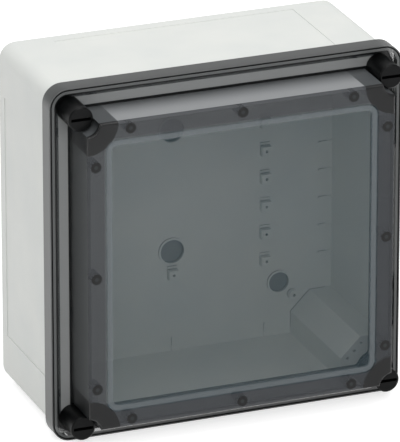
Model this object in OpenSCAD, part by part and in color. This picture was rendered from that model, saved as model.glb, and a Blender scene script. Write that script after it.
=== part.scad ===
// Hinged wall enclosure: an open base tub, a deep see-through cover on two side hinges,
// a gasket, and a slotted quarter-turn closure with its catch plate in each corner.
// Frame: X to the right, -Y out of the wall, Z up. The back face lies on Y = 0.
// Depths are measured from the back face towards the front.

/* [Base] */
// Outer width of the base
base_w = 300; // [280:1:340]
// Outer height of the base
base_h = 300; // [280:1:340]
// Depth of the base from its back face to the rim
base_d = 116; // [90:1:160]
// Thickness of the side walls
wall_t = 4.5; // [4:0.1:5]
// Thickness of the back wall
back_t = 4.5; // [4:0.1:7]
// Radius of the outer corners
base_r = 14; // [10:0.5:15]
// Depth of the sunk panel on each side
panel_sink = 0.6; // [0.3:0.1:1]
// Distance of a sunk panel from the corners
panel_edge = 44; // [36:1:52]
// Distance of a sunk panel from the back face
panel_back = 11; // [6:1:20]

/* [Corner columns] */
// Width of a corner column, from the inner side faces
column_w = 37.5; // [35:0.25:39]
// Leg of the chamfer along a corner column
column_cut = 17.5; // [14:0.25:18]
// Thickness of a column's walls
column_t = 3; // [2.4:0.1:3.5]
// Depth of the header that closes the front of a column
header_d = 12; // [10:0.5:20]
// Distance of the pilot holes from the chamfer
pilot_inset = 4.9; // [3.5:0.1:6]
// Distance between the pilot holes in a header
pilot_pitch = 8.5; // [7:0.25:9]
// Radius of every pilot hole
pilot_r = 1.25; // [1:0.05:1.5]
// Depth of the pilot holes in a header
pilot_d = 8; // [5:0.5:12]

/* [Back wall] */
// Distance between neighbouring square bosses
grid_pitch = 25; // [20:0.5:27]
// Number of square bosses in a column
grid_count = 7; // [3:2:7]
// Distance of a boss column from the middle
column_x = 84; // [70:1:92]
// Width of a square boss
boss_w = 8.5; // [7:0.25:10]
// Height of the bosses above the back wall
boss_h = 5.5; // [4:0.25:8]
// Distance of the two large rings from the middle
ring_z = 54.5; // [50:0.5:60]
// Inner radius of a large ring
ring_r = 10.5; // [8:0.25:11]
// Inner radius of the small ring near each corner
corner_ring_r = 9; // [6:0.25:9.25]
// Distance of a small ring from the inner side faces
corner_ring_inset = 48.5; // [48:0.25:50]
// Distance of a round boss from the inner side faces
corner_boss_inset = 36; // [35.5:0.25:37]
// Height of the rings and the edge ribs
trim_h = 1.6; // [1:0.1:3]
// Length of the ribs along the edges of the back wall
edge_rib_l = 12.5; // [6:0.5:14]
// Thickness of the ribs along the edges of the back wall
edge_rib_t = 1.4; // [1:0.1:2]
// Width of the rim round a ring
ring_rim = 1.6; // [1:0.1:2]
// How deep a ring's knock-out is sunk in the back wall
knock_sink = 2.6; // [1:0.1:2.8]
// Gap between a square boss and its locating rib
locating_gap = 1.6; // [1:0.1:3]
// Thickness of a locating rib
locating_t = 1.2; // [0.8:0.1:1.6]
// Radius of a round boss
round_boss_r = 4.5; // [4:0.1:5]
// Distance of the rim ribs' front ends from the rim
tick_end = 4; // [2:0.5:8]
// Length of the rim ribs
tick_l = 20; // [10:1:30]
// Distance between the two rim ribs of a pair
tick_pair = 10.6; // [8:0.1:12]
// Height of the rim ribs
tick_h = 1.2; // [0.8:0.1:1.6]

/* [Wall fixing] */
// Radius of the wall fixing holes
fixing_r = 2.6; // [2:0.05:3]

/* [Cover] */
// Depth of the cover from its skirt edge to its front face
cover_d = 51; // [44:1:70]
// Depth of the skirt
skirt_d = 16.4; // [15:0.1:18]
// Thickness of the skirt
skirt_t = 2.6; // [2.2:0.1:3]
// Gap between the base and the skirt
skirt_gap = 1.4; // [1.2:0.1:2]
// How far the skirt reaches back over the rim
skirt_lap = 2; // [1.5:0.25:4]
// Radius of the outer corners of the skirt
skirt_r = 16; // [14:0.5:18]
// Thickness of the cover's walls and flange
cover_t = 3; // [2.5:0.1:3.5]
// Depth of the trough behind the skirt's front lip
trough_d = 7; // [5:0.25:8]
// Width of the front lip of the skirt
lip_w = 4.4; // [3.8:0.1:4.8]
// Distance of the fine groove in the lip from the skirt's outside
seam_in = 0.9; // [0.8:0.1:1.2]
// Width of the fine groove in the lip
seam_w = 1.2; // [0.8:0.1:1.4]
// Depth of the fine groove in the lip
seam_d = 2; // [1:0.1:3]
// Distance from the skirt's outside to the raised front
raise_inset = 20.3; // [19.5:0.1:21]
// Radius of the raised front's corners
raise_r = 4; // [3:0.1:6]
// Radius of the front edges
front_r = 2.2; // [1:0.1:2.4]
// Distance from the raised front's side to the clear window
border_w = 15.2; // [13:0.1:18]
// Depth of the step between the border and the window
window_step = 0.5; // [0.3:0.1:1]
// Radius of the window's corners
window_r = 10; // [6:0.5:14]
// Radius of a screw boss on the border
post_r = 4.6; // [4:0.1:5.5]
// Length of a screw boss on the border
post_l = 11; // [6:0.5:14]
// Distance between the screw bosses along a side
post_pitch = 97; // [80:1:100]

/* [Gasket] */
// Width of the gasket
gasket_w = 4; // [3.5:0.1:4.5]
// Thickness of the gasket
gasket_t = 2.6; // [2:0.1:3.2]
// Width of the tongue that presses on the gasket
tongue_w = 2; // [1.5:0.1:2.2]
// Leg of the corner that the gasket cuts off, inboard of a closure
gasket_cut = 37; // [36.5:0.1:37.5]
// Height of the rib beside the gasket
rib_h = 2.5; // [1.5:0.1:2.8]
// Thickness of the rib beside the gasket
rib_t = 1.8; // [1.2:0.1:2.5]

/* [Closures] */
// Distance of a closure's axis from the skirt's outside
closure_inset = 19; // [18.75:0.05:19.25]
// Radius of the closure's head
head_r = 10.4; // [9:0.1:11]
// Length of the closure's head
head_l = 29; // [24:0.5:36]
// Gap between a closure's head and the bottom of the trough
head_rise = 0.4; // [0.3:0.05:1]
// Gap between a closure's head and its notch in the raised front
notch_gap = 1.4; // [1:0.1:2]
// Radius of the closure's stem
stem_r = 3; // [2.5:0.1:3.2]
// Half length of the closure's lug
lug_r = 6.3; // [5.8:0.1:6.4]
// Width of the closure's lug
lug_w = 5; // [4:0.1:5.5]
// Thickness of the closure's lug
lug_t = 3.3; // [2.5:0.1:4]
// Width of the screwdriver slot
slot_w = 2.6; // [1.5:0.1:3.5]
// Depth of the screwdriver slot
slot_d = 5; // [3:0.25:7]
// Thickness of a catch plate
catch_t = 3; // [2:0.1:3.4]
// How far a catch plate lies behind the rim
catch_sink = 1.5; // [1:0.1:2]
// Distance of a catch screw from the inner side face
catch_screw_in = 3.8; // [3.4:0.1:4.2]
// Distance of a catch screw from the closure's axis, along the side
catch_screw_off = 11; // [10:0.25:11.5]
// Radius of a catch plate's post
catch_post_r = 4; // [3.2:0.1:4.2]
// Depth of the hole in a catch plate's post
catch_hole_d = 10; // [9:0.5:14]
// Length of a catch screw in its post
catch_screw_l = 8; // [6:0.5:9]
// Radius of a catch screw's head
pan_r = 2.6; // [2.2:0.1:2.8]
// Height of a catch screw's head
pan_h = 1.6; // [1.2:0.1:2]
// Radius of the section of a closure seal
seal_r = 1.1; // [0.8:0.05:1.3]
// Thickness of a retaining clip
clip_t = 1.2; // [0.8:0.1:1.6]

/* [Hinges] */
// Distance of a hinge's leaf from the end of the sunk panel
hinge_in = 2; // [1:0.5:20]
// Length of a hinge along its pin
hinge_l = 46; // [36:1:56]
// Radius of the knuckles
knuckle_r = 3.5; // [3:0.1:3.6]
// Radius of the hinge pins
pin_r = 1.5; // [1:0.05:1.8]
// Distance of the hinge axis outside the skirt
axis_out = 2.5; // [2.4:0.1:3.5]
// Thickness of a bracket's leaf
leaf_t = 2.2; // [1.8:0.1:2.3]
// Depth of a bracket's leaf, along the base
leaf_d = 34; // [26:1:40]
// Distance between the two screws of a bracket
leaf_screw_pitch = 26; // [20:1:30]
// Distance of a bracket's screws from the leaf's far end
leaf_screw_in = 9; // [6:0.5:12]
// Length of the rib that carries a bracket's knuckles
knuckle_rib = 12; // [8:0.5:16]
// Height of the web that carries a cover knuckle
web_h = 10; // [8:0.5:12]

/* [Fits] */
// Gap between pieces that seat on each other
seat_gap = 0.3; // [0.3:0.05:0.4]
// Radial clearance of a pin or stem that turns
run_gap = 0.05; // [0.03:0.01:0.08]
// Radial clearance of a pin that is held
hold_gap = 0.02; // [0.01:0.01:0.03]
// Gap between the knuckles along the pin
knuckle_gap = 0.4; // [0.3:0.05:0.6]

/* [Hidden] */
$fn = 96;
// Overshoot of a cut past the face that it opens
over = 1;

inner_w = base_w - 2 * wall_t;
inner_h = base_h - 2 * wall_t;
inner_r = base_r - wall_t;

// Outlines and depths of the cover
skirt_w = base_w + 2 * (skirt_gap + skirt_t);
skirt_h = base_h + 2 * (skirt_gap + skirt_t);
skirt_y = base_d - skirt_lap;
lip_y = skirt_y + skirt_d;
trough_y = lip_y - trough_d;
flange_y = trough_y - cover_t;
front_y = skirt_y + cover_d;
raise_w = skirt_w - 2 * raise_inset;
raise_h = skirt_h - 2 * raise_inset;
recess_r = head_r + notch_gap;

// Closures
closure_x = skirt_w / 2 - closure_inset;
closure_z = skirt_h / 2 - closure_inset;
head_y = trough_y + head_rise;
groove_y = flange_y - seat_gap - clip_t;
groove_r = stem_r - 0.7;
catch_y = base_d - catch_sink - catch_t;
lug_front = catch_y - seat_gap;
lug_y = lug_front - lug_t;
catch_hole_r = pilot_r + 0.45;
CATCH_SCREWS = [
  [inner_w / 2 - catch_screw_in, closure_z - catch_screw_off],
  [closure_x - catch_screw_off, inner_h / 2 - catch_screw_in]
];

// Gasket, with the tongue that stops short of it
gasket_x = base_w / 2 - wall_t / 2;
gasket_z = base_h / 2 - wall_t / 2;
gasket_sum = gasket_x + gasket_z - gasket_cut;
tongue_h = flange_y - gasket_t - seat_gap - base_d;

// Corner columns; a sum is |x| + |z| along a diagonal across the corner
column_x_in = inner_w / 2 - column_w;
column_z_in = inner_h / 2 - column_w;
chamfer_sum = column_x_in + column_z_in + column_cut;
header_out = gasket_sum + (tongue_w / 2 + 0.35) * sqrt(2);

// Hinges
axis_x = skirt_w / 2 + axis_out;
axis_y = skirt_y - knuckle_r - 0.5;
knuckle_l = (hinge_l - 4 * knuckle_gap) / 4;
leaf_y = axis_y - leaf_d;
leaf_screw_y = leaf_y + leaf_screw_in;
leaf_screw_r = pilot_r + 0.35;
hinge_z = base_h / 2 - panel_edge - hinge_in - hinge_l / 2;
leaf_hole_d = wall_t - panel_sink - 1;

CORNERS = [[-1, 1], [1, 1], [-1, -1], [1, -1]];

// ---- Helpers ----

// Extrudes a profile drawn in X and Z from one depth to another
module run(from, to) {
  translate([0, -from, 0]) rotate([90, 0, 0]) linear_extrude(to - from) children();
}

// A cylinder along the depth
module rod(r, from, to) {
  run(from, to) circle(r);
}

// Turns a profile drawn as radius and depth about an axis along the depth
module revolve_y() {
  rotate([90, 0, 0]) rotate_extrude() children();
}

module rounded(w, h, r) {
  square([w - 2 * r, h], center = true);
  square([w, h - 2 * r], center = true);
  for (c = CORNERS) translate([c[0] * (w / 2 - r), c[1] * (h / 2 - r)]) circle(r);
}

// A rectangle with its corners cut where |x| + |z| reaches a sum
module cut_rect(x, z, sum) {
  cx = sum - z;
  cz = sum - x;
  polygon([[x, -cz], [x, cz], [cx, z], [-cx, z], [-x, cz], [-x, -cz], [-cx, -z], [cx, -z]]);
}

// A band that follows the gasket's path, from one side distance to another
module path_band(inside, outside) {
  difference() {
    cut_rect(gasket_x + outside, gasket_z + outside, gasket_sum + outside * sqrt(2));
    cut_rect(gasket_x + inside, gasket_z + inside, gasket_sum + inside * sqrt(2));
  }
}

// Repeats a shape drawn for the top right corner in every corner
module corners() {
  for (c = CORNERS) mirror([c[0] < 0 ? 1 : 0, 0, 0]) mirror([0, 0, c[1] < 0 ? 1 : 0]) children();
}

// Puts a shape at the closure of one corner
module at_closure(c) {
  translate([c[0] * closure_x, 0, c[1] * closure_z]) children();
}

// ---- Base ----

// Outline of the top right column, drawn in by an inset, out to a diagonal sum
module column_outline(inset, sum_out) {
  x = column_x_in + inset;
  z = column_z_in + inset;
  sum_in = chamfer_sum + inset * sqrt(2);
  side_x = inner_w / 2 + 1;
  side_z = inner_h / 2 + 1;
  intersection() {
    polygon([[sum_in - z, z], [side_x, z], [side_x, side_z], [x, side_z], [x, sum_in - x]]);
    polygon([[0, 0], [sum_out, 0], [0, sum_out]]);
    rounded(inner_w + 1, inner_h + 1, inner_r + 0.5);
  }
}

module base_body() {
  difference() {
    run(0, base_d) rounded(base_w, base_h, base_r);
    run(back_t, base_d + over) rounded(inner_w, inner_h, inner_r);
    side_panels();
  }
}

// Sunk panels on the four sides, open towards the rim
module side_panels() {
  long_x = base_w / 2 - panel_edge;
  long_z = base_h / 2 - panel_edge;
  for (s = [-1, 1]) {
    translate([-long_x, -base_d - over, s * base_h / 2 - panel_sink])
      cube([2 * long_x, base_d + over - panel_back, 2 * panel_sink]);
    translate([s * base_w / 2 - panel_sink, -base_d - over, -long_z])
      cube([2 * panel_sink, base_d + over - panel_back, 2 * long_z]);
  }
}

module corner_column() {
  run(back_t - 0.5, base_d) difference() {
    column_outline(0, inner_w + inner_h);
    column_outline(column_t, inner_w + inner_h);
  }
  run(base_d - header_d, base_d) column_outline(0, header_out);
  for (p = CATCH_SCREWS) translate([p[0], 0, p[1]]) rod(catch_post_r, back_t - 0.5, catch_y);
}

module corner_column_holes() {
  mid_x = (chamfer_sum + pilot_inset * sqrt(2) + column_x_in - column_z_in) / 2;
  mid_z = mid_x - column_x_in + column_z_in;
  step = pilot_pitch / sqrt(2);
  for (i = [-1:1])
    translate([mid_x + i * step, 0, mid_z - i * step]) rod(pilot_r, base_d - pilot_d, base_d + over);
  for (p = CATCH_SCREWS) translate([p[0], 0, p[1]]) rod(pilot_r, catch_y - catch_hole_d, catch_y + over);
  translate([closure_x, 0, closure_z]) rod(fixing_r, -over, back_t + over);
}

// A square boss with a pilot hole and a locating rib above it
module square_boss(x, z) {
  translate([x, 0, z]) difference() {
    union() {
      run(back_t - 0.5, back_t + boss_h) square(boss_w, center = true);
      translate([0, 0, boss_w / 2 + locating_gap + locating_t / 2])
        run(back_t - 0.5, back_t + trim_h) square([boss_w, locating_t], center = true);
    }
    rod(pilot_r, back_t + 0.5, back_t + boss_h + over);
  }
}

module ring(x, z, r) {
  translate([x, 0, z]) run(back_t - 0.5, back_t + trim_h) difference() {
    circle(r + ring_rim);
    circle(r);
  }
}

module back_wall_details() {
  half = (grid_count - 1) / 2;
  edge_x = inner_w / 2 - edge_rib_l;
  edge_z = inner_h / 2 - edge_rib_l;
  for (i = [-half:half]) {
    for (s = [-1, 1]) {
      square_boss(s * column_x, i * grid_pitch);
      translate([s * edge_x, 0, i * grid_pitch])
        run(back_t - 0.5, back_t + trim_h)
          translate([s > 0 ? 0 : -edge_rib_l, -edge_rib_t / 2]) square([edge_rib_l, edge_rib_t]);
    }
  }
  for (s = [-1, 1]) {
    square_boss(0, s * half * grid_pitch);
    ring(0, s * ring_z, ring_r);
    for (x = [-column_x, 0, column_x])
      translate([x, 0, s * edge_z])
        run(back_t - 0.5, back_t + trim_h)
          translate([-edge_rib_t / 2, s > 0 ? 0 : -edge_rib_l]) square([edge_rib_t, edge_rib_l]);
  }
  corners() {
    ring(inner_w / 2 - corner_ring_inset, inner_h / 2 - corner_ring_inset, corner_ring_r);
    translate([inner_w / 2 - corner_boss_inset, 0, inner_h / 2 - corner_boss_inset])
      difference() {
        rod(round_boss_r, back_t - 0.5, back_t + boss_h);
        rod(pilot_r, back_t + 0.5, back_t + boss_h + over);
      }
  }
}

// Short ribs on the inner faces, just behind the rim
module rim_ticks() {
  half = (grid_count - 1) / 2;
  for (i = [-half:half]) for (s = [-1, 1]) for (t = [-1, 1])
    translate([s * inner_w / 2, 0, i * grid_pitch + t * tick_pair / 2])
      run(base_d - tick_end - tick_l, base_d - tick_end) square([2 * tick_h, tick_h], center = true);
}

// The sunk floors of the rings' knock-outs
module knock_outs() {
  for (s = [-1, 1]) translate([0, 0, s * ring_z]) rod(ring_r, back_t - knock_sink, back_t + 0.1);
  corners() translate([inner_w / 2 - corner_ring_inset, 0, inner_h / 2 - corner_ring_inset])
    rod(corner_ring_r, back_t - knock_sink, back_t + 0.1);
}

module base_shell() color([0.86, 0.87, 0.86]) difference() {
  union() {
    base_body();
    corners() corner_column();
    back_wall_details();
    rim_ticks();
    run(base_d - 0.5, base_d + tongue_h) path_band(-tongue_w / 2, tongue_w / 2);
  }
  corners() corner_column_holes();
  knock_outs();
  hinge_screw_places() rotate([0, 90, 0]) cylinder(r = pilot_r, h = 2 * leaf_hole_d, center = true);
}

// ---- Cover ----

// Outline of the raised front, cut back round the closures; grow is negative inside
module raised_outline(grow) {
  difference() {
    rounded(raise_w + 2 * grow, raise_h + 2 * grow, raise_r + grow);
    for (c = CORNERS) translate([c[0] * closure_x, c[1] * closure_z]) circle(recess_r - grow);
  }
}

// The corner that a rounded edge loses, as a profile
module edge_loss(r) {
  difference() {
    translate([-r, -r]) square(r + over);
    translate([-r, -r]) circle(r);
  }
}

// Rounds the front edges of the raised section
module front_edges() {
  for (s = [-1, 1]) {
    translate([s * raise_w / 2, -front_y, 0]) linear_extrude(raise_h, center = true)
      mirror([s < 0 ? 1 : 0, 0]) mirror([0, 1]) edge_loss(front_r);
    translate([0, -front_y, s * raise_h / 2]) rotate([0, 90, 0]) linear_extrude(raise_w, center = true)
      mirror([s < 0 ? 0 : 1, 0]) mirror([0, 1]) edge_loss(front_r);
  }
  corners() translate([closure_x, 0, closure_z]) revolve_y()
    translate([recess_r, front_y]) mirror([1, 0]) edge_loss(front_r);
}

// Outline of the skirt, drawn in by an inset
module skirt_outline(inset) {
  rounded(skirt_w - 2 * inset, skirt_h - 2 * inset, skirt_r - inset);
}

// The flange with its lip, the lip's fine groove and the trough, without the raised front
module flange() {
  difference() {
    run(skirt_y, lip_y) skirt_outline(0);
    run(skirt_y - over, flange_y) skirt_outline(skirt_t);
    run(trough_y, lip_y + over) skirt_outline(lip_w);
    run(flange_y - over, lip_y) raised_outline(-cover_t);
    corners() translate([closure_x, 0, closure_z])
      rod(stem_r + run_gap, flange_y - over, trough_y + over);
    run(lip_y - seam_d, lip_y + over) difference() {
      skirt_outline(seam_in);
      skirt_outline(seam_in + seam_w);
    }
  }
}

module raised_front() {
  difference() {
    run(flange_y, front_y) raised_outline(0);
    run(flange_y - over, front_y - cover_t) raised_outline(-cover_t);
    run(front_y - cover_t - over, front_y - cover_t + window_step)
      rounded(raise_w - 2 * border_w, raise_h - 2 * border_w, window_r);
    front_edges();
  }
}

module cover_posts() {
  x = raise_w / 2 - cover_t - post_r + 0.6;
  z = raise_h / 2 - cover_t - post_r + 0.6;
  places = [
    for (i = [-1:1]) for (s = [-1, 1]) [i * post_pitch, s * z],
    for (i = [-1:1]) for (s = [-1, 1]) [s * x, i * post_pitch]
  ];
  for (p = places) translate([p[0], 0, p[1]]) difference() {
    rod(post_r, front_y - cover_t - post_l, front_y - cover_t / 2);
    rod(pilot_r, front_y - cover_t - post_l - over, front_y - cover_t - 1);
  }
}

// One knuckle and the web that joins it to the skirt, from the hinge's middle upwards
module cover_knuckle() {
  from = knuckle_l + knuckle_gap;
  translate([0, 0, from]) difference() {
    linear_extrude(knuckle_l) {
      translate([axis_x, -axis_y]) circle(knuckle_r);
      polygon([
        [axis_x - knuckle_r, -axis_y], [axis_x - knuckle_r, -skirt_y - 1],
        [skirt_w / 2 - skirt_t / 2, -skirt_y - 1], [skirt_w / 2 - skirt_t / 2, -skirt_y - web_h],
        [skirt_w / 2, -skirt_y - web_h], [axis_x + knuckle_r - 0.4, -axis_y - 1.6], [axis_x, -axis_y]
      ]);
    }
    translate([axis_x, -axis_y, -over]) cylinder(r = pin_r + run_gap, h = knuckle_l + 2 * over);
  }
}

module cover_shell() color([0.45, 0.48, 0.49, 0.55]) union() {
  flange();
  raised_front();
  cover_posts();
  run(flange_y - rib_h, flange_y + 0.5)
    path_band(-gasket_w / 2 - seat_gap - rib_t, -gasket_w / 2 - seat_gap);
  for (s = [-1, 1]) for (t = [0, 1])
    translate([0, 0, s * hinge_z]) mirror([0, 0, t]) cover_knuckle();
}

// ---- Gasket ----

module cover_gasket() color([0.05, 0.05, 0.055])
  run(flange_y - gasket_t, flange_y) path_band(-gasket_w / 2, gasket_w / 2);

// ---- Closures ----

// A slotted head, a stem with a clip groove and a lug across its end
module closure_bolt(c) color([0.06, 0.065, 0.07]) at_closure(c) {
  head_end = head_y + head_l;
  difference() {
    union() {
      revolve_y() polygon([
        [0, head_y], [head_r - 0.6, head_y], [head_r, head_y + 0.6], [head_r, head_end - 1],
        [head_r - 1, head_end], [0, head_end]
      ]);
      rod(stem_r, groove_y + clip_t + 0.1, head_y + 0.5);
      rod(groove_r, groove_y - 0.2, groove_y + clip_t + 0.2);
      rod(stem_r, lug_y, groove_y - 0.1);
      run(lug_y, lug_front) intersection() {
        circle(lug_r);
        square([2 * lug_r, lug_w], center = true);
      }
    }
    run(head_end - slot_d, head_end + over) square([2 * (head_r - 2), slot_w], center = true);
    run(head_y - over, head_y + 2 * seal_r) difference() {
      circle(stem_r + 2 * seal_r + 0.7);
      circle(stem_r);
    }
  }
}

module closure_seal(c) color([0.1, 0.1, 0.1]) at_closure(c)
  revolve_y() translate([stem_r + seal_r + 0.3, trough_y + seal_r + 0.1]) circle(seal_r, $fn = 32);

// An open ring that snaps into the stem's groove behind the flange
module closure_clip(c) color([0.7, 0.71, 0.72]) at_closure(c)
  run(groove_y, groove_y + clip_t) difference() {
    circle(stem_r + 2.4);
    circle(groove_r + hold_gap);
    translate([-groove_r * 0.8, 0]) square([groove_r * 1.6, stem_r + 4]);
  }

// A plate with a keyway for the lug, screwed down in a corner of the base
module catch_plate(c) color([0.1, 0.1, 0.105])
  mirror([c[0] < 0 ? 1 : 0, 0, 0]) mirror([0, 0, c[1] < 0 ? 1 : 0])
    run(catch_y, catch_y + catch_t) difference() {
      intersection() {
        rounded(inner_w - 2 * seat_gap, inner_h - 2 * seat_gap, inner_r - seat_gap);
        difference() {
          square(inner_w + inner_h);
          polygon([[0, 0], [header_out + 0.5, 0], [0, header_out + 0.5]]);
        }
      }
      translate([closure_x, closure_z]) {
        circle(stem_r + 1.1);
        square([2 * (lug_r + 1.5), lug_w + 1.2], center = true);
      }
      for (p = CATCH_SCREWS)
        translate(p) circle(catch_hole_r);
    }

// Pan head screws that hold the catch plates
module catch_screws() color([0.72, 0.73, 0.74])
  corners() for (p = CATCH_SCREWS)
    translate([p[0], 0, p[1]]) difference() {
      union() {
        rod(pilot_r - hold_gap, catch_y - catch_screw_l, catch_y + catch_t + 0.5);
        rod(pan_r, catch_y + catch_t, catch_y + catch_t + pan_h);
      }
      run(catch_y + catch_t + pan_h / 2, catch_y + catch_t + 2 * pan_h) {
        square([pan_r * 1.2, pan_r / 4], center = true);
        square([pan_r / 4, pan_r * 1.2], center = true);
      }
    }

// ---- Hinges ----

// Every hinge screw's place on the outside of the base
module hinge_screw_places() {
  for (s = [-1, 1]) for (t = [-1, 1])
    translate([base_w / 2 - panel_sink, -leaf_screw_y, s * hinge_z + t * leaf_screw_pitch / 2]) children();
}

// A leaf on the side of the base with two knuckles in the middle of the hinge
module hinge_bracket(s) color([0.86, 0.87, 0.86]) {
  side_x = base_w / 2 - panel_sink;
  difference() {
    union() {
      translate([side_x, -axis_y, s * hinge_z - hinge_l / 2]) cube([leaf_t, leaf_d, hinge_l]);
      translate([0, 0, s * hinge_z - knuckle_l]) linear_extrude(2 * knuckle_l) {
        translate([axis_x, -axis_y]) circle(knuckle_r);
        polygon([
          [side_x, -axis_y], [side_x, -axis_y + knuckle_rib], [side_x + leaf_t, -axis_y + knuckle_rib],
          [axis_x + 1, -axis_y + knuckle_r - 0.3], [axis_x, -axis_y]
        ]);
      }
    }
    translate([axis_x, -axis_y, s * hinge_z - hinge_l]) cylinder(r = pin_r + hold_gap, h = 2 * hinge_l);
    hinge_screw_places() rotate([0, 90, 0]) {
      cylinder(r = leaf_screw_r + 0.2, h = 3 * leaf_t, center = true);
      translate([0, 0, leaf_t - 1.4]) cylinder(r1 = leaf_screw_r, r2 = leaf_screw_r + 1.6, h = 1.6);
    }
  }
}

module hinge_pin(s) color([0.75, 0.76, 0.77])
  translate([axis_x, -axis_y, s * hinge_z - hinge_l / 2 + 0.4]) {
    cylinder(r = pin_r, h = hinge_l - 0.8);
  }

// Countersunk screws through the brackets into the base
module hinge_screws() color([0.75, 0.76, 0.77]) hinge_screw_places() rotate([0, 90, 0])
  difference() {
    union() {
      translate([0, 0, 0.3 - leaf_hole_d])
        cylinder(r = pilot_r - hold_gap, h = leaf_hole_d - 0.3 + leaf_t - 1.2);
      translate([0, 0, leaf_t - 1.4]) cylinder(r1 = leaf_screw_r - 0.1, r2 = leaf_screw_r + 1.2, h = 1.35);
    }
    translate([0, 0, leaf_t]) cube([3.4, 0.6, 1.2], center = true);
  }

// ---- The nodes ----

TL = CORNERS[0];
TR = CORNERS[1];
BL = CORNERS[2];
BR = CORNERS[3];

base_shell();
cover_shell();
cover_gasket();
closure_bolt(TL);  // closure_bolt_top_left
closure_bolt(TR);  // closure_bolt_top_right
closure_bolt(BL);  // closure_bolt_bottom_left
closure_bolt(BR);  // closure_bolt_bottom_right
closure_seal(TL);  // closure_seal_top_left
closure_seal(TR);  // closure_seal_top_right
closure_seal(BL);  // closure_seal_bottom_left
closure_seal(BR);  // closure_seal_bottom_right
closure_clip(TL);  // closure_clip_top_left
closure_clip(TR);  // closure_clip_top_right
closure_clip(BL);  // closure_clip_bottom_left
closure_clip(BR);  // closure_clip_bottom_right
catch_plate(TL);  // catch_plate_top_left
catch_plate(TR);  // catch_plate_top_right
catch_plate(BL);  // catch_plate_bottom_left
catch_plate(BR);  // catch_plate_bottom_right
catch_screws();
hinge_bracket(1);  // hinge_bracket_upper
hinge_bracket(-1);  // hinge_bracket_lower
hinge_pin(1);  // hinge_pin_upper
hinge_pin(-1);  // hinge_pin_lower
hinge_screws();
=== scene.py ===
"""Hinged wall enclosure: a light grey base tub behind a deep smoked cover on two side hinges."""

import math

import bpy
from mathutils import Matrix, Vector


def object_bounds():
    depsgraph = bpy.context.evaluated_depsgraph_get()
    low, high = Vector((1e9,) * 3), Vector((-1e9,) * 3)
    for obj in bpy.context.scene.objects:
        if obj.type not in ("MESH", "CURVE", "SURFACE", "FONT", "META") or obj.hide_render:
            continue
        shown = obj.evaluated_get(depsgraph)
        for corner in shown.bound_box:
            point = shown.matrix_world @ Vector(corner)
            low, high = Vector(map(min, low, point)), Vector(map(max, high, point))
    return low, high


MM = 0.001

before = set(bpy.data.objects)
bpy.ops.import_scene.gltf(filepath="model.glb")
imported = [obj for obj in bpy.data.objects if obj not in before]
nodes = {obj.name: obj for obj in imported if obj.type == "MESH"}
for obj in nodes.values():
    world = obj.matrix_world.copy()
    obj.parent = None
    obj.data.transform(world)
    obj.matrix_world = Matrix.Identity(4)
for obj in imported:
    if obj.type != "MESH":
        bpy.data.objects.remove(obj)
cad_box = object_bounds()


# ---- Camera ----

# Where the camera stands, seen from the point it aims at: to the left and above
AZIMUTH = math.radians(-21.480)
ELEVATION = math.radians(21.874)
DISTANCE = 4905.65 * MM
# The point it aims at: right and up in its own view, and in front of the back face
AIM_RIGHT = -9.372 * MM
AIM_UP = 6.026 * MM
AIM_DEPTH = 95 * MM
# A long lens: its focal length and the sensor's long side, in millimetres
FOCAL_LENGTH = 484.55837
SENSOR = 36.0
# What lies nearer or farther than this, in metres, is left out
NEAR_CLIP, FAR_CLIP = 0.1, 50

back = Vector(
    (
        math.sin(AZIMUTH) * math.cos(ELEVATION),
        -math.cos(AZIMUTH) * math.cos(ELEVATION),
        math.sin(ELEVATION),
    )
)
right = Vector((math.cos(AZIMUTH), math.sin(AZIMUTH), 0))
upward = back.cross(right)

lens = bpy.data.cameras.new("studio_camera")
lens.sensor_width = SENSOR
lens.sensor_fit = "AUTO"
lens.lens = FOCAL_LENGTH
lens.clip_start = NEAR_CLIP
lens.clip_end = FAR_CLIP
camera = bpy.data.objects.new("studio_camera", lens)
bpy.context.scene.collection.objects.link(camera)
camera.location = (
    Vector((0, -AIM_DEPTH, 0)) + right * AIM_RIGHT + upward * AIM_UP + back * DISTANCE
)
camera.rotation_mode = "QUATERNION"
camera.rotation_quaternion = (-back).to_track_quat("-Z", "Y")
bpy.context.scene.camera = camera
bpy.context.scene.view_settings.view_transform = "Standard"


# ---- Places on the object, in millimetres ----

# Depths on the base, in front of its back face, and half the width they lie within
# These two depths on the base carry painted shade
KNOCK_OUT_FLOORS = (1.0, 3.6)
BOSS_FEET = (4.65, 5.3)
BACK_WALL_HALF = 140
# Outlines on the cover: half the width, and the radius of the corners
WINDOW = (118.5, 10)
RAISED_FOOT = (134, 6)
SKIRT = (154, 16)
# Depths on the cover, in front of the base's back face
SKIRT_DEPTHS = (95, 130.2)
LIP_DEPTHS = (130.2, 132)
GROOVE_DEPTHS = (128, 130.3)
TROUGH_DEPTHS = (115, 124.2)
FRONT_SHEET = 161.6
RAISED_DEPTHS = (124.2, FRONT_SHEET)
POST_DEPTHS = (149.5, FRONT_SHEET)
# Over these depths the walls fade from painted shade to painted reflection, and upward walls
# gain painted light
WALL_FADE = (124, 163)
BLOOM_FADE = (124, 154)
# Distance of the raised front's side walls from the cover's middle
SIDE_WALLS = (130.45, 134.5)
# Place of a closure's axis along both edges, and distances from that axis
CLOSURE_AXIS = 135
NOTCH_WALLS = (9, 15.3)
# Within this distance of a closure's axis the border and the walls carry painted shade
CORNER_SHADE = 27.6
# Place of the row of screw posts, their pitch, and distances from a post's axis
POST_ROW = 127
POST_PITCH = 97
POST_EDGE = (4.2, 5.0)
POST_BORE = 1.7
# Distances outside the window's outline, negative where they lie inside it, and the
# height of the step that is drawn there
# Along this strip the window's edge is painted paler as painted light
STRIP = (-5.2, -0.6)
FROST_EDGE = (0.0, 0.8)
STEP = (-0.6, 0.8)
STEP_HEIGHT = 0.5
# Distances outside the outline of the raised front's foot
SEAT = (1.8, 9.8)
# These seam lines on the trough's floor carry painted shade
INNER_SEAM = (-1.0, 1.8)
OUTER_SEAM = (11.5, 17.0)
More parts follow.
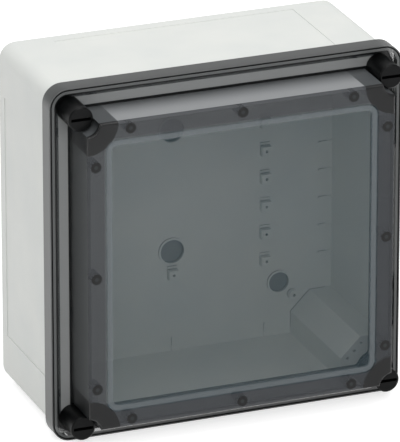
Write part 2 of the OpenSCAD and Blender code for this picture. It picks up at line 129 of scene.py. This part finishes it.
# Distances outside the skirt's outline; 12 mm takes in the knuckles of the hinges
TROUGH_END = -4.3
SKIRT_FACE = (-0.4, 12)
LIP_FACE = (-4.6, 12)
# The groove round the lip is painted black as painted shade
GROOVE = (-2.3, -0.7)


# ---- Nodes and colours ----


def linear(code):
    """The linear colour of an sRGB hex code such as C8CAC7."""
    steps = [int(code[i : i + 2], 16) / 255 for i in (0, 2, 4)]
    shown = [s / 12.92 if s <= 0.04045 else ((s + 0.055) / 1.055) ** 2.4 for s in steps]
    return (*shown, 1.0)


def add(tree, kind, settings=None, sockets=None):
    """Adds a node, sets or links its sockets, and gives its first live output."""
    node = tree.nodes.new("ShaderNode" + kind)
    for name, value in (settings or {}).items():
        setattr(node, name, value)
    for name, value in (sockets or {}).items():
        if isinstance(value, bpy.types.NodeSocket):
            tree.links.new(value, node.inputs[name])
        else:
            node.inputs[name].default_value = value
    return next((out for out in node.outputs if out.enabled), None)


def per_mm(size):
    """The scale of a pattern whose features are this many millimetres wide."""
    return 1000 / size


def new_finish(name):
    """A bare material, its nodes and the object's own coordinates."""
    finish = bpy.data.materials.new(name)
    finish.use_nodes = True
    tree = finish.node_tree
    tree.nodes.clear()
    return finish, tree, add(tree, "TexCoord").node.outputs["Object"]


PLUS, MINUS, TIMES = ({"operation": word} for word in ("ADD", "SUBTRACT", "MULTIPLY"))
BIGGER, SMALLER = {"operation": "MAXIMUM"}, {"operation": "MINIMUM"}
ABOVE, BELOW = {"operation": "GREATER_THAN"}, {"operation": "LESS_THAN"}
ABSOLUTE, LENGTH = {"operation": "ABSOLUTE"}, {"operation": "LENGTH"}
COLOURS, NUMBERS = {"data_type": "RGBA"}, {"data_type": "FLOAT"}
SMOOTH = {"interpolation_type": "SMOOTHSTEP"}
# The two values that noise mostly runs between, as the ends that a map starts from
NOISE_SPAN = {1: 0.3, 2: 0.7}
# Radians that a wave texture turns through in one unit of its scale
WAVE_RADIANS = 20


# ---- Distances and zones on the object ----


def within(tree, value, low_end, high_end):
    """1 where a value lies between two distances in millimetres, and 0 elsewhere."""
    over = add(tree, "Math", ABOVE, {0: value, 1: low_end * MM})
    under = add(tree, "Math", BELOW, {0: value, 1: high_end * MM})
    return add(tree, "Math", TIMES, {0: over, 1: under})


def distance(tree, sideways, upwards):
    """The straight distance that two steps at a right angle make."""
    steps = add(tree, "CombineXYZ", {}, {0: sideways, 1: upwards})
    return add(tree, "VectorMath", LENGTH, {0: steps}).node.outputs["Value"]


def past_outline(tree, across, upright, half, radius):
    """How far a place lies outside a square outline with rounded corners."""
    past = [
        add(tree, "Math", MINUS, {0: side, 1: (half - radius) * MM})
        for side in (across, upright)
    ]
    over = [add(tree, "Math", BIGGER, {0: way, 1: 0.0}) for way in past]
    further = add(tree, "Math", BIGGER, {0: past[0], 1: past[1]})
    deepest = add(tree, "Math", SMALLER, {0: further, 1: 0.0})
    both = add(tree, "Math", PLUS, {0: distance(tree, *over), 1: deepest})
    return add(tree, "Math", MINUS, {0: both, 1: radius * MM})


def from_middle(tree, place):
    """How far a place is from the middle along X and Z, and in front of the back face."""
    parts = add(tree, "SeparateXYZ", {}, {0: place}).node.outputs
    across, upright = (add(tree, "Math", ABSOLUTE, {0: parts[i]}) for i in (0, 2))
    return across, upright, add(tree, "Math", TIMES, {0: parts[1], 1: -1.0})


def cover_zones(tree, across, upright, depth):
    """The cover's zones by name, each 1 inside and 0 outside, and its window's step."""
    further = add(tree, "Math", BIGGER, {0: across, 1: upright})
    nearer = add(tree, "Math", SMALLER, {0: across, 1: upright})
    from_window = past_outline(tree, across, upright, *WINDOW)
    from_foot = past_outline(tree, across, upright, *RAISED_FOOT)
    from_skirt = past_outline(tree, across, upright, *SKIRT)
    to_axis = distance(
        tree,
        add(tree, "Math", MINUS, {0: across, 1: CLOSURE_AXIS * MM}),
        add(tree, "Math", MINUS, {0: upright, 1: CLOSURE_AXIS * MM}),
    )
    # Along each side one post stands in the middle and one at the pitch either way
    to_outer_post = add(tree, "Math", MINUS, {0: nearer, 1: POST_PITCH * MM})
    to_outer_post = add(tree, "Math", ABSOLUTE, {0: to_outer_post})
    to_post = distance(
        tree,
        add(tree, "Math", MINUS, {0: further, 1: POST_ROW * MM}),
        add(tree, "Math", SMALLER, {0: nearer, 1: to_outer_post}),
    )

    front = add(tree, "Math", ABOVE, {0: depth, 1: FRONT_SHEET * MM})
    frosted = add(
        tree,
        "MapRange",
        {},
        {0: from_window, 1: FROST_EDGE[0] * MM, 2: FROST_EDGE[1] * MM},
    )
    border = add(tree, "Math", TIMES, {0: frosted, 1: front})
    side_walls = within(tree, further, *SIDE_WALLS)
    notch_walls = within(tree, to_axis, *NOTCH_WALLS)
    either = add(tree, "Math", BIGGER, {0: side_walls, 1: notch_walls})
    raised = within(tree, depth, *RAISED_DEPTHS)
    walls = add(tree, "Math", TIMES, {0: raised, 1: either})
    off_walls = add(tree, "Math", MINUS, {0: 1.0, 1: walls})
    # Painted shade round each closure's axis
    corner = add(tree, "Math", BELOW, {0: to_axis, 1: CORNER_SHADE * MM})
    rounds = add(
        tree,
        "MapRange",
        {},
        {0: to_post, 1: POST_EDGE[0] * MM, 2: POST_EDGE[1] * MM, 3: 1.0, 4: 0.0},
    )
    bores = add(tree, "Math", BELOW, {0: to_post, 1: POST_BORE * MM})
    inside_lip = add(tree, "Math", BELOW, {0: from_skirt, 1: TROUGH_END * MM})
    trough = within(tree, depth, *TROUGH_DEPTHS)
    trough = add(tree, "Math", TIMES, {0: trough, 1: inside_lip})
    # Dark lines of painted shade on the trough's floor, at the raised front's foot and by the
    # lip
    inner_seam = within(tree, from_foot, *INNER_SEAM)
    outer_seam = within(tree, from_foot, *OUTER_SEAM)
    seam_shade = add(tree, "Math", BIGGER, {0: inner_seam, 1: outer_seam})
    step = add(
        tree,
        "MapRange",
        {},
        {0: from_window, 1: STEP[0] * MM, 2: STEP[1] * MM, 4: STEP_HEIGHT * MM},
    )

    zones = {"border": border, "walls": walls, "trough": trough}
    # Each of these holds where two others hold at once
    for name, one, other in (
        ("strip", within(tree, from_window, *STRIP), front),
        ("posts", within(tree, depth, *POST_DEPTHS), off_walls),
        ("border_corners", corner, border),
        ("wall_corners", corner, walls),
        ("post_ends", rounds, front),
        ("post_bores", bores, front),
        ("seat", within(tree, from_foot, *SEAT), trough),
        ("seam_shade", seam_shade, trough),
        ("skirt", within(tree, from_skirt, *SKIRT_FACE), within(tree, depth, *SKIRT_DEPTHS)),
        ("lip", within(tree, from_skirt, *LIP_FACE), within(tree, depth, *LIP_DEPTHS)),
        ("groove", within(tree, from_skirt, *GROOVE), within(tree, depth, *GROOVE_DEPTHS)),
        ("step", step, front),
    ):
        zones[name] = add(tree, "Math", TIMES, {0: one, 1: other})
    return zones


# ---- Finishes ----


def grey_polycarbonate():
    """Light grey polycarbonate, injection moulded in a spark-eroded tool.

    The fine even grain scatters the light into a soft satin, and the slow flow of
    the melt leaves the grey a hair cooler or warmer from place to place.
    """
    finish, tree, place = new_finish("grey_moulded_polycarbonate")
    flow = add(tree, "TexNoise", {}, {"Vector": place, "Scale": per_mm(45)})
    # The real grain is 0.1 mm; it is drawn at 0.7 mm so that it shows
    grain = add(tree, "TexNoise", {}, {"Vector": place, "Scale": per_mm(0.7)})
    share = add(tree, "MapRange", {}, {0: flow, **NOISE_SPAN})
    grey = add(
        tree, "Mix", COLOURS, {0: share, 6: linear("D8DBD8"), 7: linear("DEE0DC")}
    )
    satin = add(tree, "MapRange", {}, {0: grain, **NOISE_SPAN, 3: 0.42, 4: 0.54})
    relief = add(
        tree, "Bump", {}, {"Height": grain, "Distance": 0.02 * MM, "Strength": 0.5}
    )
    across, upright, depth = from_middle(tree, place)
    further = add(tree, "Math", BIGGER, {0: across, 1: upright})
    inside = add(tree, "Math", BELOW, {0: further, 1: BACK_WALL_HALF * MM})
    # Painted shade: the sunk floors of the knock-outs are painted darker, and the feet of the
    # bosses and the floors of their pilot holes are painted as a dark line of shade
    for depths, shade in ((KNOCK_OUT_FLOORS, "8C8F8E"), (BOSS_FEET, "2A2D2E")):
        layer = within(tree, depth, *depths)
        layer = add(tree, "Math", TIMES, {0: layer, 1: inside})
        grey = add(tree, "Mix", COLOURS, {0: layer, 6: grey, 7: linear(shade)})
    shader = add(
        tree,
        "BsdfPrincipled",
        {},
        {"Base Color": grey, "Roughness": satin, "IOR": 1.58, "Normal": relief},
    )
    add(tree, "OutputMaterial", {}, {0: shader})
    return finish


def cover_tones(tree, place, depth):
    """The colours of the cover's walls and notch walls, painted with light and shade, and of its
    window, and how shut the window is.
    """
    # Painted shade and reflection: walls go from a dark foot to a lighter front edge
    foot, edge = (end * MM for end in WALL_FADE)
    rise = add(tree, "MapRange", {}, {0: depth, 1: foot, 2: edge})
    side = add(
        tree, "Mix", COLOURS, {0: rise, 6: linear("333637"), 7: linear("585B5C")}
    )
    # Upward walls are painted lighter, as a painted bloom of light that thickens toward the
    # front. It starts where the face's normal rises by 0.2 and is whole where it rises by 0.9
    foot, edge = (end * MM for end in BLOOM_FADE)
    bloom = add(tree, "MapRange", SMOOTH, {0: depth, 1: foot, 2: edge})
    top = add(
        tree, "Mix", COLOURS, {0: bloom, 6: linear("636668"), 7: linear("9FA1A3")}
    )
    facing = add(tree, "TexCoord").node.outputs["Normal"]
    lifted = add(tree, "SeparateXYZ", {}, {0: facing}).node.outputs["Z"]
    upper = add(tree, "MapRange", {}, {0: lifted, 1: 0.2, 2: 0.9})
    walls = add(tree, "Mix", COLOURS, {0: upper, 6: side, 7: top})
    # Painted shade on the notch walls round the closures, painted lighter on upward faces
    notch_shade = add(
        tree, "Mix", COLOURS, {0: upper, 6: linear("1B1D1E"), 7: linear("55585A")}
    )
    # The melt's slow flow leaves the smoke a little thicker in places
    flow = add(tree, "TexNoise", {}, {"Vector": place, "Scale": per_mm(60)})
    share = add(tree, "MapRange", {}, {0: flow, **NOISE_SPAN})
    window = add(
        tree, "Mix", COLOURS, {0: share, 6: linear("2B4752"), 7: linear("304D59")}
    )
    shut = add(tree, "MapRange", {}, {0: flow, **NOISE_SPAN, 3: 0.22, 4: 0.24})
    return walls, notch_shade, window, shut


def smoked_polycarbonate():
    """Smoked see-through polycarbonate, moulded, with a frosted border round its window.

    The window is polished, so it mirrors the room faintly and shows what is behind it
    in a grey dusk, with a strip along its sunk edge painted paler as painted light. The
    border is grained in the tool, which blurs it dark, and the ends of the screw posts stand
    in it as darker rounds. The trough's floor carries a pale seat between two dark lines of
    painted shade. The skirt and the lip are nearly opaque, and a fine groove round the lip
    is painted black as painted shade.
    """
    finish, tree, place = new_finish("smoked_moulded_polycarbonate")
    # The frosting is 0.2 mm; it is drawn at 0.8 mm so that it shows
    grain = add(tree, "TexNoise", {}, {"Vector": place, "Scale": per_mm(0.8)})
    across, upright, depth = from_middle(tree, place)
    zones = cover_zones(tree, across, upright, depth)
    walls, notch_shade, tone, shut = cover_tones(tree, place, depth)
    # The window's roughness, which each zone in turn covers with its own
    rough = 0.06
    # Each zone's colour, how far it shuts out what is behind it, and its roughness
    looks = {
        "border": (linear("4A4D51"), 0.64, 0.5),
        # The strip is painted paler as painted light
        "strip": (linear("6C7478"), 0.66, 0.25),
        "posts": (linear("0C0D0E"), 0.95, 0.5),
        # The walls carry painted shade, painted reflection and painted light
        "walls": (walls, 0.86, 0.3),
        # Painted shade round the closures, on the border and on the walls
        "border_corners": (linear("121314"), 0.9, 0.4),
        "wall_corners": (notch_shade, 0.9, 0.3),
        "post_ends": (linear("0A0B0C"), 0.92, 0.45),
        "post_bores": (linear("2A2E30"), 0.9, 0.45),
        "trough": (linear("4C5052"), 0.6, 0.2),
        "seat": (linear("AAACAC"), 0.82, 0.25),
        # Dark lines of painted shade on the trough's floor
        "seam_shade": (linear("141617"), 0.9, 0.3),
        "skirt": (linear("444646"), 0.97, 0.35),
        "lip": (linear("646666"), 0.9, 0.3),
        # The groove is painted black as painted shade
        "groove": (linear("08090A"), 1.0, 0.6),
    }
    for name, (colour, closed, matt) in looks.items():
        tone = add(tree, "Mix", COLOURS, {0: zones[name], 6: tone, 7: colour})
        shut = add(tree, "Mix", NUMBERS, {0: zones[name], 2: shut, 3: closed})
        rough = add(tree, "Mix", NUMBERS, {0: zones[name], 2: rough, 3: matt})
    # The window is sunk: its edge is a soft step that catches the light from above
    sunk = add(
        tree, "Bump", {}, {"Height": zones["step"], "Distance": 1.0, "Strength": 1.0}
    )
    frost = add(tree, "Math", TIMES, {0: grain, 1: zones["border"]})
    relief = add(
        tree,
        "Bump",
        {},
        {"Height": frost, "Distance": 0.05 * MM, "Strength": 0.3, "Normal": sunk},
    )
    shader = add(
        tree,
        "BsdfPrincipled",
        {},
        {
            "Base Color": tone,
            "Alpha": shut,
            "Roughness": rough,
            "IOR": 1.585,
            "Specular IOR Level": 0.3,
            "Normal": relief,
        },
    )
    add(tree, "OutputMaterial", {}, {0: shader})
    return finish


def sponge_rubber():
    """Black cellular rubber strip, cut from sheet, whose open pores drink the light."""
    finish, tree, place = new_finish("black_sponge_rubber")
    # Pores of 0.6 mm, drawn at 1.2 mm so that they show
    pores = add(tree, "TexVoronoi", {}, {"Vector": place, "Scale": per_mm(1.2)})
    dust = add(tree, "TexNoise", {}, {"Vector": place, "Scale": per_mm(14)})
    black = add(
        tree, "Mix", COLOURS, {0: dust, 6: linear("101113"), 7: linear("1C1D1F")}
    )
    dull = add(tree, "MapRange", {}, {0: pores, 3: 0.78, 4: 0.92})
    relief = add(
        tree, "Bump", {}, {"Height": pores, "Distance": 0.15 * MM, "Strength": 0.7}
    )
    shader = add(
        tree,
        "BsdfPrincipled",
        {},
        {"Base Color": black, "Roughness": dull, "IOR": 1.5, "Normal": relief},
    )
    add(tree, "OutputMaterial", {}, {0: shader})
    return finish


def black_acetal():
    """Black acetal, turned and slotted: rings left by the tool catch a soft sheen."""
    finish, tree, place = new_finish("black_turned_acetal")
    cloud = add(tree, "TexNoise", {}, {"Vector": place, "Scale": per_mm(9)})
    # Tool marks of 0.2 mm along the axis, drawn 5.7 mm apart as a slow wave so that
    # they show: the wave turns through one radian in 0.9 mm
    rings = add(
        tree,
        "TexWave",
        {"bands_direction": "Y"},
        {
            "Vector": place,
            "Scale": per_mm(0.9) / WAVE_RADIANS,
            "Distortion": 0.4,
            "Detail": 1.0,
        },
    ).node.outputs[1]
    black = add(
        tree, "Mix", COLOURS, {0: cloud, 6: linear("050606"), 7: linear("0B0C0D")}
    )
    sheen = add(tree, "MapRange", {}, {0: cloud, **NOISE_SPAN, 3: 0.28, 4: 0.38})
    relief = add(
        tree, "Bump", {}, {"Height": rings, "Distance": 0.03 * MM, "Strength": 0.4}
    )
    shader = add(
        tree,
        "BsdfPrincipled",
        {},
        {
            "Base Color": black,
            "Roughness": sheen,
            "IOR": 1.48,
            "Specular IOR Level": 0.15,
            "Normal": relief,
        },
    )
    add(tree, "OutputMaterial", {}, {0: shader})
    return finish


def nitrile_rubber():
    """Black nitrile ring, moulded: smooth, with the slight bloom of new rubber."""
    finish, tree, place = new_finish("black_nitrile_rubber")
    bloom = add(tree, "TexNoise", {}, {"Vector": place, "Scale": per_mm(1.5)})
    black = add(
        tree, "Mix", COLOURS, {0: bloom, 6: linear("131313"), 7: linear("202020")}
    )
    dull = add(tree, "MapRange", {}, {0: bloom, **NOISE_SPAN, 3: 0.5, 4: 0.65})
    shader = add(
        tree,
        "BsdfPrincipled",
        {},
        {"Base Color": black, "Roughness": dull, "IOR": 1.52},
    )
    add(tree, "OutputMaterial", {}, {0: shader})
    return finish


def steel(name, scales, size, dark, light, smooth, matt):
    """Bare or plated steel with fine marks, which a scale below 1 draws out on its axis."""
    finish, tree, place = new_finish(name)
    drawn = add(tree, "Mapping", {}, {"Vector": place, "Scale": scales})
    marks = add(tree, "TexNoise", {}, {"Vector": drawn, "Scale": per_mm(size)})
    share = add(tree, "MapRange", {}, {0: marks, **NOISE_SPAN})
    metal = add(tree, "Mix", COLOURS, {0: share, 6: linear(dark), 7: linear(light)})
    rough = add(tree, "MapRange", {}, {0: marks, **NOISE_SPAN, 3: smooth, 4: matt})
    shader = add(
        tree,
        "BsdfPrincipled",
        {},
        {"Base Color": metal, "Metallic": 1.0, "Roughness": rough},
    )
    add(tree, "OutputMaterial", {}, {0: shader})
    return finish


def filled_nylon():
    """Black glass-filled nylon, moulded: the fibres leave it dry and faintly flecked."""
    finish, tree, place = new_finish("black_filled_nylon")
    # Fibre flecks of 0.3 mm, drawn at 0.8 mm so that they show
    flecks = add(
        tree, "TexNoise", {}, {"Vector": place, "Scale": per_mm(0.8), "Detail": 3.0}
    )
    share = add(tree, "MapRange", {}, {0: flecks, **NOISE_SPAN})
    black = add(
        tree, "Mix", COLOURS, {0: share, 6: linear("0C0D0E"), 7: linear("151617")}
    )
    dry = add(tree, "MapRange", {}, {0: flecks, **NOISE_SPAN, 3: 0.5, 4: 0.66})
    relief = add(
        tree, "Bump", {}, {"Height": flecks, "Distance": 0.02 * MM, "Strength": 0.5}
    )
    shader = add(
        tree,
        "BsdfPrincipled",
        {},
        {"Base Color": black, "Roughness": dry, "IOR": 1.53, "Normal": relief},
    )
    add(tree, "OutputMaterial", {}, {0: shader})
    return finish


grey = grey_polycarbonate()
# Rolled spring strip: the rolls leave streaks of 0.3 mm across the clip
spring_steel = steel(
    "rolled_spring_steel", (1, 1, 0.08), 0.3, "A9ABAD", "BEC0C1", 0.25, 0.4
)
# Zinc plate: cool and bright, a little cloudy from its passivation
zinc_steel = steel("zinc_plated_steel", (1, 1, 1), 1.6, "B4B8BC", "C9CBCB", 0.28, 0.42)
# Ground pin: grinding marks of 0.15 mm go round it, drawn at 0.3 mm so that they show
pin_steel = steel(
    "ground_stainless_steel", (0.15, 0.15, 1), 0.3, "B9BABB", "CBCCCC", 0.16, 0.28
)
FINISH_BY_START = {
    "base_shell": grey,
    "cover_shell": smoked_polycarbonate(),
    "cover_gasket": sponge_rubber(),
    "closure_bolt": black_acetal(),
    "closure_seal": nitrile_rubber(),
    "closure_clip": spring_steel,
    "catch_plate": filled_nylon(),
    "catch_screws": zinc_steel,
    "hinge_bracket": grey,
    "hinge_pin": pin_steel,
    "hinge_screws": zinc_steel,
}
for name, piece in nodes.items():
    finish = next(f for start, f in FINISH_BY_START.items() if name.startswith(start))
    for holder in piece.material_slots:
        holder.material = finish


# ---- Floor, room and lamps ----

# The floor's side, in metres
FLOOR_SIZE = 12
# The glow that whitens the floor where it is seen, without lighting the object
FLOOR_LIFT = 0.6
# The strength of the room's light on the object, and of the white that is seen
ROOM_LIGHT, ROOM_WHITE = 0.65, 1.0
# The point that both lamps aim at, near the middle of the object
LAMP_AIM = (0, -0.08, 0)


def white_paper():
    """White paper underfoot: plain white to the eye, and it keeps a soft shadow."""
    finish, tree, place = new_finish("white_paper")
    # The paper's slow tooth is drawn at 400 mm, so that it never shows as a pattern
    tooth = add(tree, "TexNoise", {}, {"Vector": place, "Scale": per_mm(400)})
    white = add(
        tree, "Mix", COLOURS, {0: tooth, 6: linear("E6E6E6"), 7: linear("E9E9E9")}
    )
    paper = add(tree, "BsdfDiffuse", {}, {"Color": white, "Roughness": 0.9})
    path = add(tree, "LightPath").node.outputs
    seen = add(
        tree, "Math", BIGGER, {0: path["Is Camera Ray"], 1: path["Is Glossy Ray"]}
    )
    seen = add(tree, "Math", BIGGER, {0: seen, 1: path["Is Transmission Ray"]})
    glow = add(tree, "Math", TIMES, {0: seen, 1: FLOOR_LIFT})
    lift = add(tree, "Emission", {}, {"Color": linear("FFFFFF"), "Strength": glow})
    both = add(tree, "AddShader", {}, {0: paper, 1: lift})
    add(tree, "OutputMaterial", {}, {0: both})
    return finish


bpy.ops.object.select_all(action="DESELECT")
bpy.ops.mesh.primitive_plane_add(size=FLOOR_SIZE, location=(0, 0, cad_box[0].z))
floor = bpy.context.object
floor.name = "paper_floor"
floor.data.materials.append(white_paper())

world = bpy.data.worlds.new("studio_room")
bpy.context.scene.world = world
world.use_nodes = True
room = world.node_tree
room.nodes.clear()
path = add(room, "LightPath").node.outputs
plain = add(room, "Background", {}, {"Color": linear("FFFFFF"), "Strength": ROOM_LIGHT})
white = add(room, "Background", {}, {"Color": linear("FFFFFF"), "Strength": ROOM_WHITE})
to_eye = add(
    room, "Math", BIGGER, {0: path["Is Camera Ray"], 1: path["Is Transmission Ray"]}
)
shown = add(room, "MixShader", {}, {0: to_eye, 1: plain, 2: white})
add(room, "OutputWorld", {}, {0: shown})


def softbox(name, place, size, power):
    """A square lamp at a place, turned to aim at the object."""
    lamp = bpy.data.lights.new(name, "AREA")
    lamp.shape = "SQUARE"
    lamp.size = size
    lamp.energy = power
    holder = bpy.data.objects.new(name, lamp)
    holder.location = place
    holder.rotation_mode = "QUATERNION"
    toward = Vector(LAMP_AIM) - Vector(place)
    holder.rotation_quaternion = toward.to_track_quat("-Z", "Y")
    bpy.context.scene.collection.objects.link(holder)


# Places and sizes in metres, powers in watts
softbox("top_softbox", place=(0.1, -0.4, 1.9), size=1.4, power=16)
softbox("front_softbox", place=(-0.6, -2.2, 1.3), size=1.2, power=12)
